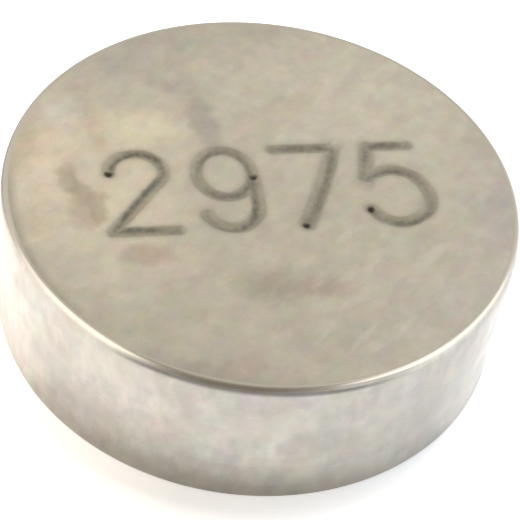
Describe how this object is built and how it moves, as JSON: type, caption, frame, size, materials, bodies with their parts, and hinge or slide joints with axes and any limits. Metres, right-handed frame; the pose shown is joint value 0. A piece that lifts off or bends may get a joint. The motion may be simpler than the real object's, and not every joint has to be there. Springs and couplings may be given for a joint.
{
  "type": "valve shim",
  "caption": "Solid round steel disc, ground flat on both faces with rounded edges, that sets an engine's valve clearance by its thickness.",
  "frame": {"origin": "centre of the plain face, the underside of the disc as it lies", "axes": "+Z along the disc's axis, towards the marked face; +X along the reading direction of the thickness figure on that face"},
  "size_m": [0.0094, 0.0094, 0.003],
  "materials": {
    "hardened_steel": "ground and lightly stained, satin"
  },
  "bodies": {
    "root": {"valve_shim": "hardened_steel"}
  },
  "joints": []
}
